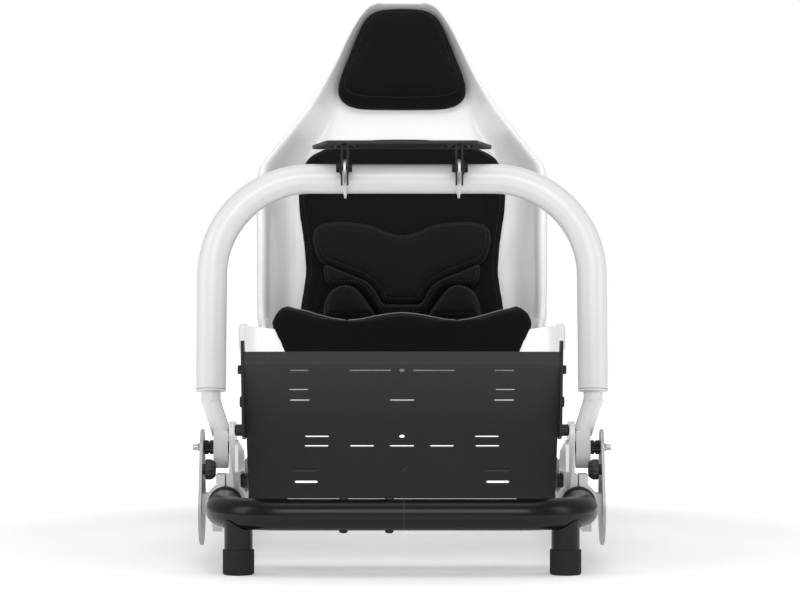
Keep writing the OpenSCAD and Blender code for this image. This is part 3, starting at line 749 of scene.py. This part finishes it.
def back_pad(node, name, material, half, levels, edge, wide, seam, voxel):
    """A pad on the backrest with a crowned front, a low side wall and a sewn seam near its edge.

    The levels are the heights of its underside and top, edge is the radius of its rounding, and
    wide is the distance over which the crown goes on rising.
    """
    wall_share, round_share = 0.30, 0.84
    seam_depth, seam_half = 0.0016, 0.0022
    cast_height = 0.12
    corners = [(x * MM, v * MM) for x, v in half]
    outline = smooth_loop(corners if node.startswith("hip") else mirrored(half))
    low, high = levels
    rings = [[on_back(x, v, n) for x, v in outline] for n in (low, high)]
    points, faces = lofted(rings)
    mesh = bpy.data.meshes.new(name)
    mesh.from_pydata([tuple(p) for p in points], [], faces)
    piece = bpy.data.objects.new(name, mesh)
    bpy.context.scene.collection.objects.link(piece)
    even_grid(piece, voxel, 2)
    rows = to_back(mesh_array(piece.data))
    gap = distance_to_line(rows[:, :2], outline)
    rounded = np.sqrt(1 - (1 - np.minimum(gap / edge, 1.0)) ** 2)
    rise = np.sin(np.minimum(gap / wide, 1.0) * math.pi / 2)
    crown = round_share * rounded + (1 - round_share) * rise
    rows[:, 2] = low + (rows[:, 2] - low) * (wall_share + (1 - wall_share) * crown)
    set_mesh_array(piece.data, from_back(rows))
    puff(piece, BACK_OUT)
    round_off = piece.modifiers.new("round_off", "SUBSURF")
    round_off.levels = 1
    baked(piece)
    line = inner_line(outline, seam)
    rows = to_back(mesh_array(piece.data))
    near = distance_to_line(rows[:, :2], line)
    dip = seam_depth * np.exp(-(near / seam_half) ** 2)
    rows[:, 2] -= np.where(rows[:, 2] > low + wall_share * (high - low), dip, 0.0)
    rows[:, 2] = np.minimum(rows[:, 2], high)
    set_mesh_array(piece.data, from_back(rows))
    dress_pad(piece, node, material)
    spots = [on_back(x, v, cast_height) for x, v in fine_steps(line + line[:1])]
    return stitches_on(piece, spots, -BACK_OUT)


sewing = []
sewing += back_pad("backrest_pad", "back_cover", cover_cloth, [
    (60, 2), (150, 2), (190, 6), (196, 40), (190, 95), (186, 132), (192, 200), (202, 270),
    (203, 335), (190, 372), (160, 397), (110, 414), (50, 421)],
    levels=(0.0005, 0.0235), edge=0.016, wide=0.12, seam=0.010, voxel=0.006)
sewing += back_pad("headrest_pad", "head_cushion", cover_cloth, [
    (40, 489), (84, 491), (109, 499), (124, 515), (127, 537), (120, 565), (105, 607), (92, 646),
    (80, 678), (64, 700), (40, 710), (14, 712)],
    levels=(0.0005, 0.046), edge=0.030, wide=0.10, seam=0.013, voxel=0.005)
sewing += back_pad("shoulder_pad", "shoulder_cushion", pad_cloth, [
    (30, 48), (46, 72), (72, 97), (118, 119), (154, 136), (168, 162), (172, 192), (166, 211),
    (146, 221), (108, 223), (62, 216), (30, 202), (9, 195)],
    levels=(0.0245, 0.0495), edge=0.022, wide=0.07, seam=0.009, voxel=0.005)
sewing += back_pad("lumbar_pad", "lumbar_cushion", pad_cloth, [
    (16, 23), (38, 23), (50, 39), (63, 61), (79, 80), (98, 87.5), (118, 87), (135, 87),
    (147, 98), (150, 116), (149, 132), (118, 118.5), (69, 95.5), (49, 75), (36, 49), (16, 46)],
    levels=(0.0245, 0.0455), edge=0.012, wide=0.03, seam=0.006, voxel=0.004)
HIP_OUTLINE = [(50, 9), (53, 24), (64, 43), (77, 63), (89, 76), (102, 81.5), (117, 81),
               (131, 75), (143, 61), (149, 42), (150, 24), (149, 9)]
for side, sign in (("left", -1), ("right", 1)):
    sewing += back_pad(
        "hip_pad_" + side, "hip_cushion_" + side, pad_cloth,
        [(sign * x, v) for x, v in HIP_OUTLINE],
        levels=(0.0245, 0.066), edge=0.020, wide=0.05, seam=0.008, voxel=0.004)


SEAT_DEPTHS = [row[0] * MM - BASE_HALF for row in SEAT_SECTIONS[:9]]
SEAT_HEIGHTS = [row[1] * MM for row in SEAT_SECTIONS[:9]]
# Height of the cushion's crest over the floor, at distances from the middle
CREST_X = (0.0, 0.025, 0.050, 0.075, 0.096, 0.115, 0.135, 0.155, 0.180, 0.205)
CREST_Z = (0.4090, 0.4072, 0.4025, 0.3978, 0.3962, 0.3976, 0.4022, 0.4082, 0.4155, 0.4205)
FRONT_ZONE_Y = -0.07


def evened(values, width):
    """Values averaged with their neighbours, over an odd number of places."""
    kernel = np.hanning(width) / np.hanning(width).sum()
    side = width // 2
    values[side:-side] = np.convolve(values, kernel, "valid")
    return values


def crest_height(points):
    """The height of the highest point near the front, for steps of distance to the side."""
    front = points[points[:, 1] < FRONT_ZONE_Y]
    places = np.linspace(-0.210, 0.210, 85)
    near = 0.004
    heights = np.array([front[np.abs(front[:, 0] - x) < near][:, 2].max() for x in places])
    return places, evened(heights, 7)


def shape_crest(points):
    """Draws the front of the cushion up or down to the wave of its crest."""
    places, heights = crest_height(points)
    wanted = evened(np.interp(np.abs(places), CREST_X, CREST_Z), 9)
    step = np.interp(points[:, 0], places, wanted - heights)
    fade_y, fade_length = 0.03, 0.13
    wall_z, wall_height = 0.335, 0.045
    near_front = np.clip((fade_y - points[:, 1]) / fade_length, 0.0, 1.0)
    up = np.clip((points[:, 2] - wall_z) / wall_height, 0.0, 1.0)
    points[:, 2] += step * near_front ** 2 * (3 - 2 * near_front) * up


def make_thigh_cushion():
    """The long seat cushion, with a front roll, two lengthwise seams and one across."""
    mesh = nodes["seat_cushion"].data.copy()
    mesh.materials.clear()
    piece = bpy.data.objects.new("thigh_cushion", mesh)
    bpy.context.scene.collection.objects.link(piece)
    weld = piece.modifiers.new("weld", "WELD")
    weld.merge_threshold = 1e-5
    even_grid(piece, 0.006, 5)
    points = mesh_array(piece.data)
    floor_z = np.interp(points[:, 1], SEAT_DEPTHS, SEAT_HEIGHTS)
    side_gap, full_height = 0.004, 0.030
    wider, higher = 0.030, 0.004
    proud = np.clip((points[:, 2] - floor_z - side_gap) / full_height, 0.0, 1.0)
    points[:, 0] *= 1.0 + wider * proud
    points[:, 2] += higher * proud
    set_mesh_array(piece.data, points)
    puff(piece, Vector((0, 0.12, 0.99)).normalized())
    round_off = piece.modifiers.new("round_off", "SUBSURF")
    round_off.levels = 1
    baked(piece)
    points = mesh_array(piece.data)
    cast_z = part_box("seat_cushion")[1][2] + 0.1
    shape_crest(points)
    seam_depth, seam_half, stitch_shift = 0.0022, 0.003, 0.004
    seam_x, seam_front, seam_rear = 0.098, -0.125, 0.20
    cross_x, cross_y = 0.20, -0.118
    lines = [[(side * seam_x, y) for y in (seam_front, seam_rear)] for side in (-1, 1)]
    lines.append([(-cross_x, cross_y), (cross_x, cross_y)])
    top = points[:, 2] > 0.36 - 0.22 * np.maximum(points[:, 1] + 0.14, 0.0)
    for line in lines:
        near = distance_to_line(points[:, :2], line, False)
        points[:, 2] -= np.where(top, seam_depth * np.exp(-(near / seam_half) ** 2), 0.0)
    set_mesh_array(piece.data, points)
    dress_pad(piece, "seat_cushion", cover_cloth)
    forms = []
    for line in lines:
        spots = [Vector((x, y, cast_z)) for x, y in fine_steps(line)]
        lengthwise = line[0][0] == line[-1][0]
        for shift in (-stitch_shift, stitch_shift):
            across = Vector((shift, 0, 0)) if lengthwise else Vector((0, shift, 0))
            forms += stitches_on(piece, [p + across for p in spots], DOWN)
    return piece, forms


def make_crest_piping_highlight(cushion):
    """A thin cord along the crest of the cushion's front roll, coloured light grey as a painted
    highlight of the light that rims the crest.
    """
    surface = surface_of(cushion)
    half, cord_r, cast_z = 0.212, 0.0010, 0.6
    lift = Vector((0, 0, 0.0004))

    def top_at(x, y):
        return surface.ray_cast(Vector((x, y, cast_z)), DOWN)[0]

    across = np.linspace(-half, half, 86)
    depths = []
    for x in across:
        hits = [top_at(x, y) for y in np.linspace(-0.165, -0.085, 41)]
        depths.append(max((hit for hit in hits if hit is not None), key=lambda hit: hit.z).y)
    line = np.polyval(np.polyfit(across, depths, 4), across)
    path = [top_at(x, y) + lift for x, y in zip(across, line)]
    points, faces = tube_along(path, cord_r, 8)
    add_piece("crest_piping_highlight", points, faces, "base", piping_highlight_cloth)


cushion, cushion_sewing = make_thigh_cushion()
make_crest_piping_highlight(cushion)
points, faces = gathered(sewing + cushion_sewing)
add_piece("seat_stitches", points, faces, "base", thread)


# Fasteners, knobs, welds and joint lines

def fastener_piece(name, forms, body, material, replaced=None, mirror=True):
    """Small forms of one finish on one body as one piece, mirrored to the left if asked."""
    form = gathered(forms)
    points, faces = both_sides(form) if mirror else form
    piece = add_piece(name, points, faces, body, material, smooth=False)
    if replaced:
        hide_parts(replaced)
    return piece


def make_pedal_fasteners():
    """Bolt heads on the cheeks of the pedal plate, and the pins on which the plate tilts."""
    cheek, pin_start, pin_end = 0.2535, 0.2492, 0.2762
    pin_r = 0.0049
    upper = (0.052, 0.32418)
    middle = (0.080, 0.27218)
    forms = [
        hexagonal(at(cheek, *upper), X_OUT, 0.0138, 0.006),
        washer(at(cheek, *middle), X_OUT, 0.012, 0.0014),
        hexagonal(at(cheek, *middle), X_OUT, 0.0170, 0.0031, 0.0014),
        turned(at(cheek, *PEDAL_PIVOT), X_OUT, [
            (0.0080, 0.0), (0.0095, 0.0010), (0.0095, 0.0119), (0.0080, 0.0129)], 32),
        turned(at(pin_start, *PEDAL_PIVOT), X_OUT, [(pin_r, 0.0), (pin_r, 0.0285)], 24),
        turned(at(pin_end, *PEDAL_PIVOT), X_OUT, [(pin_r, 0.0), (0.0034, 0.0016)], 24)]
    fastener_piece("pedal_fasteners", forms, "pedal_mount", black_steel,
                   "pedal_bolts")


def make_wheel_fasteners():
    """Pivot bolts of the wheel bracket, and the screws that hold it under the wheel plate."""
    inner, outer = 0.0895, 0.1025
    bolt_r = 0.0049
    forms = [
        turned(at(inner, *WHEEL_PIVOT), X_OUT, [(bolt_r, 0.0), (bolt_r, outer - inner)], 24),
        washer(at(outer, *WHEEL_PIVOT), X_OUT, 0.012, 0.002),
        hexagonal(at(outer, *WHEEL_PIVOT), X_OUT, 0.0164, 0.006, 0.002),
        washer(at(inner, *WHEEL_PIVOT), -X_OUT, 0.009, 0.0015),
        hexagonal(at(inner, *WHEEL_PIVOT), -X_OUT, 0.0150, 0.0043, 0.0015)]
    fastener_piece("wheel_fasteners", forms, "wheel_mount", black_steel,
                   "wheel_bolts")
    plate_low = 0.69457
    bracket_low, plate_top = plate_low - 0.003, plate_low + 0.005
    screws = []
    for x in (0.083, 0.109):
        for depth in (0.326, 0.362):
            screws.append(turned(at(x, depth, bracket_low), -Z_UP, [
                (0.0048, 0.0), (0.0044, 0.0014), (0.0030, 0.0024), (0.0016, 0.0024),
                (0.0016, 0.0014)], 20))
            screws.append(turned(at(x, depth, plate_top), Z_UP, [
                (0.0052, 0.0), (0.0050, 0.0004), (0.0024, 0.0004), (0.0020, -0.0012)], 20))
    fastener_piece("wheel_plate_screws", screws, "wheel_mount", black_steel)


def make_pivot_fasteners():
    """The bolts on which the hoop tilts, with a knurled nut inside the round side plate."""
    bolt_start, spacer, nut, plate_face = 0.2765, 0.2855, 0.3145, 0.335
    bolt_r = 0.0059
    forms = [
        turned(at(bolt_start, *PIVOT), X_OUT, [(bolt_r, 0.0), (bolt_r, 0.0585)], 28),
        turned(at(spacer, *PIVOT), X_OUT, [
            (0.0100, 0.0), (0.0110, 0.0008), (0.0110, 0.0032), (0.0100, 0.0040)], 32),
        hexagonal(at(bolt_start, *PIVOT), -X_OUT, 0.0165, 0.0060),
        turned(at(nut, *PIVOT), X_OUT, [
            (0.0085, 0.0), (0.0112, 0.0008), (0.0112, 0.0060), (0.0090, 0.0066),
            (0.0090, 0.0082), (0.0112, 0.0088), (0.0112, 0.0145), (0.0095, 0.0155)],
            64, 16, 0.0007)]
    fastener_piece("pivot_fasteners", forms, "carriage", black_steel,
                   "pivot_bolts")
    outer = [
        washer(at(plate_face, *PIVOT), X_OUT, 0.009, 0.0016),
        hexagonal(at(plate_face, *PIVOT), X_OUT, 0.0130, 0.0045, 0.0016),
        turned(at(plate_face, *PIVOT), X_OUT, [
            (0.0052, 0.006), (0.0052, 0.0132), (0.0044, 0.0140)], 28)]
    fastener_piece("pivot_outer_bolts", outer, "carriage", bright_steel)


def make_joiner_screws():
    """Screws above and below the front and rear bars, where the two halves of the base join."""
    head_sunk = 0.0012
    forms = []
    for depth in (TUBE_R, 2 * BASE_HALF - TUBE_R):
        for x in (-0.092, -0.020):
            for sign in (-1, 1):
                face = at(x, depth, RAIL_Z + sign * (TUBE_R - head_sunk))
                forms.append(turned(face, sign * Z_UP, [
                    (0.0070, 0.0), (0.0070, 0.0022), (0.0062, 0.0040), (0.0046, 0.0051),
                    (0.0030, 0.0051), (0.0026, 0.0034)], 28))
    fastener_piece("joiner_screws", forms, "base", black_steel, "joiner_bolts",
                   False)


def make_knobs():
    """The star knobs of the collars and the hand knobs that hold the hoop's tilt."""
    star_place = at(0.267, 0.272, 0.134)
    hand_place = at(0.330, 0.264, 0.153)
    star = [turned(star_place, -X_OUT, [
        (0.0092, 0.0), (0.0107, 0.0012), (0.0109, 0.0100), (0.0095, 0.0118), (0.0045, 0.0120),
        (0.0040, 0.0112)], 72, 8, 0.0012)]
    piece = fastener_piece("star_knobs", star, "carriage", black_plastic,
                           "collar_knobs")
    hand = [
        turned(hand_place, -X_OUT, [
            (0.0085, 0.0), (0.0090, 0.0006), (0.0090, 0.0046), (0.0075, 0.0050)], 32),
        turned(hand_place, -X_OUT, [
            (0.0140, 0.0050), (0.0161, 0.0062), (0.0161, 0.0140), (0.0148, 0.0165),
            (0.0120, 0.0205), (0.0108, 0.0218), (0.0050, 0.0220), (0.0040, 0.0210)],
            72, 12, 0.0009)]
    other = fastener_piece("hand_knobs", hand, "carriage", black_plastic,
                           "tilt_knobs")
    for knob in (piece, other):
        for face in knob.data.polygons:
            face.use_smooth = True


def leg_weld(depth, back):
    """The bead where a leg meets the corner of the base loop."""
    x = RAIL_X - BASE_BEND_R * (1 - math.cos(math.radians(45)))
    leg_r, sunk, bead_r = 0.0225, 0.0006, 0.0022
    turn = math.radians(45 if back else -45)
    path = []
    for k in range(48):
        a = math.tau * k / 48
        u, v = leg_r * math.sin(a), leg_r * math.cos(a)
        drop = math.sqrt(TUBE_R ** 2 - u ** 2)
        path.append(at(x + u * math.cos(turn) - v * math.sin(turn),
                       depth + u * math.sin(turn) + v * math.cos(turn), RAIL_Z - drop - sunk))
    return tube_along(path, bead_r, 6, True)


def make_welds():
    """Weld beads at the legs, at the seat brackets and at the tabs of the hoop."""
    lap = TUBE_R + BASE_BEND_R * (1 - math.cos(math.radians(45)))
    legs = [leg_weld(lap, False), leg_weld(2 * BASE_HALF - lap, True)]
    rail = []
    bracket_in, step = 0.0205, 0.0025
    drop = math.sqrt(TUBE_R ** 2 - 0.021 ** 2)
    for depth in (0.62669, 1.02589):
        for sign in (-1, 1):
            path = [at(RAIL_X - bracket_in, depth + (k - 10) * step, RAIL_Z + sign * drop)
                    for k in range(21)]
            rail.append(tube_along(path, 0.0018, 6))
    fastener_piece("base_welds", legs + rail, "base", black_powder)
    bar = (0.37532, 0.63757)
    tabs = [ring_bead(at(x, *bar), X_OUT, HOOP_R + 0.0004, 0.0013) for x in (0.0936, 0.0984)]
    piece = fastener_piece("tab_welds", tabs, "hoop", white_powder)
    for face in piece.data.polygons:
        face.use_smooth = True


def make_joint_lines():
    """Thin dark lines where two tubes meet end to end or one goes into the other."""
    base = [ring_bead(at(0.003, depth, RAIL_Z), X_OUT, TUBE_R - 0.0001, 0.0005, 48)
            for depth in (TUBE_R, 2 * BASE_HALF - TUBE_R)]
    fastener_piece("base_joint_lines", base, "base", gap_shade, None, False)
    foot = on_hoop(HOOP_X, 0, HOOP_LEG_BOTTOM)
    upward = (on_hoop(HOOP_X, 0, 1) - on_hoop(HOOP_X, 0, 0)).normalized()
    ends = [ring_bead(foot, upward, HOOP_R - 0.0002, 0.0005, 48)]
    fastener_piece("hoop_end_lines", ends, "hoop", gap_shade)


def strap(path, width, thickness):
    """A flat strip bent along a path in the depth and height plane."""
    rings = []
    last = len(path) - 1
    for i, p in enumerate(path):
        along = (path[min(i + 1, last)] - path[max(i - 1, 0)]).normalized()
        out = along.cross(X_OUT) * thickness
        half = X_OUT * (width / 2)
        rings.append([p - half, p + half, p + half + out, p - half + out])
    return lofted(rings)


def make_seat_clamps():
    """Saddle straps and bolts that hold the shell on the crossbars."""
    forms = []
    for row in (2, 7):
        depth, height, slope = (SEAT_SECTIONS[row][i] for i in range(3))
        c, s = math.cos(math.radians(slope)), math.sin(math.radians(slope))

        def place(x, u, n):
            return at(x, depth * MM + u * c - n * s, height * MM + u * s + n * c)

        x = 0.150
        under, bar_n, bar_r = -0.0346, -0.0483, 0.0145
        out = (place(0, 0, -1) - place(0, 0, 0)).normalized()
        path = [place(x, u, under) for u in (-0.036, -0.030, -0.024, -0.0175)]
        for k in range(13):
            a = math.pi * k / 12
            path.append(place(x, -bar_r * math.cos(a), bar_n - bar_r * math.sin(a)))
        path += [place(x, u, under) for u in (0.0175, 0.024, 0.030, 0.036)]
        forms.append(strap(path, 0.024, 0.0022))
        for u in (-0.027, 0.027):
            head = place(x, u, under - 0.0020)
            forms.append(washer(head, out, 0.0078, 0.0014))
            forms.append(hexagonal(head, out, 0.0110, 0.0060, 0.0014))
    fastener_piece("seat_clamps", forms, "base", black_steel)


make_pedal_fasteners()
make_wheel_fasteners()
make_pivot_fasteners()
make_joiner_screws()
make_knobs()
make_welds()
make_joint_lines()
make_seat_clamps()


# Floor, light and camera

def make_floor():
    """A pale floor, far wider than the picture."""
    mesh = bpy.data.meshes.new("studio_floor")
    half = 9.0
    steps = 12
    points, faces = [], []
    for i in range(steps + 1):
        for k in range(steps + 1):
            points.append((-half + 2 * half * i / steps, -half + 2 * half * k / steps, 0.0))
    for i in range(steps):
        for k in range(steps):
            a = i * (steps + 1) + k
            faces.append((a, a + steps + 1, a + steps + 2, a + 1))
    mesh.from_pydata(points, [], faces)
    floor = bpy.data.objects.new("studio_floor", mesh)
    bpy.context.scene.collection.objects.link(floor)
    # The floor's emission is painted light: a glow that is weaker near the object, which deepens
    # the shade around it, and full far off.
    paint = moulding("floor_paint_and_glow", rgb(0.88), rgb(0.84), 0.5, 200.0, 0.05, **{
        "Specular IOR Level": 0.15, "Emission Strength": 1.0})
    glow = paint.node_tree.nodes.new("ShaderNodeGroup")
    glow.node_tree = make_floor_group()
    paint.node_tree.links.new(
        glow.outputs["Glow"], paint.node_tree.nodes["Principled BSDF"].inputs["Emission Color"])
    mesh.materials.append(paint)


def area_light(name, place, target, size, power):
    """A soft rectangular light at a place, turned to a target."""
    light = bpy.data.lights.new(name, "AREA")
    light.shape = "RECTANGLE"
    light.size, light.size_y = size
    light.energy = power
    lamp = bpy.data.objects.new(name, light)
    bpy.context.scene.collection.objects.link(lamp)
    lamp.location = place
    lamp.rotation_mode = "QUATERNION"
    lamp.rotation_quaternion = (Vector(place) - Vector(target)).to_track_quat("Z", "Y")


def make_studio():
    """An even white surround with five soft lights."""
    world = bpy.data.worlds.new("studio")
    world.use_nodes = True
    tree = world.node_tree
    ambient = tree.nodes["Background"]
    ambient.inputs["Color"].default_value = (1.0, 1.0, 1.0, 1.0)
    ambient.inputs["Strength"].default_value = 0.42
    seen = tree.nodes.new("ShaderNodeBackground")
    seen.inputs["Color"].default_value = (1.0, 1.0, 1.0, 1.0)
    seen.inputs["Strength"].default_value = 1.0
    path = tree.nodes.new("ShaderNodeLightPath")
    choice = tree.nodes.new("ShaderNodeMixShader")
    tree.links.new(path.outputs["Is Camera Ray"], choice.inputs[0])
    tree.links.new(ambient.outputs[0], choice.inputs[1])
    tree.links.new(seen.outputs[0], choice.inputs[2])
    tree.links.new(choice.outputs[0], tree.nodes["World Output"].inputs["Surface"])
    bpy.context.scene.world = world
    bpy.context.scene.view_settings.view_transform = "Standard"
    area_light("top_softbox", (0.0, -0.4, 3.2), (0.0, 0.0, 0.3), (2.4, 2.4), 26.0)
    area_light("front_softbox", (0.0, -4.8, 2.6), (0.0, 0.3, 0.6), (3.2, 1.6), 75.0)
    area_light("back_softbox", (0.0, 2.8, 2.4), (0.0, 0.2, 0.6), (2.6, 1.4), 9.0)
    area_light("left_softbox", (-3.0, -1.6, 1.6), (0.0, 0.0, 0.4), (1.0, 2.0), 18.0)
    area_light("right_softbox", (3.0, -1.6, 1.6), (0.0, 0.0, 0.4), (1.0, 2.0), 15.0)


def make_camera():
    """Camera in front of the pedals, at the photograph's height and distance."""
    focal_px, frame_px, sensor = 2880.0, 800.0, 36.0
    data = bpy.data.cameras.new("photo_camera")
    data.sensor_width = sensor
    data.lens = focal_px / frame_px * sensor
    data.shift_x = -2.0 / frame_px
    data.shift_y = -15.0 / frame_px
    data.dof.use_dof = False
    data.clip_end = 60.0
    camera = bpy.data.objects.new("photo_camera", data)
    bpy.context.scene.collection.objects.link(camera)
    camera.location = (0.0, -5.22, 0.458)
    camera.rotation_euler = (math.radians(90), 0.0, 0.0)
    bpy.context.scene.camera = camera


make_floor()
make_studio()
make_camera()
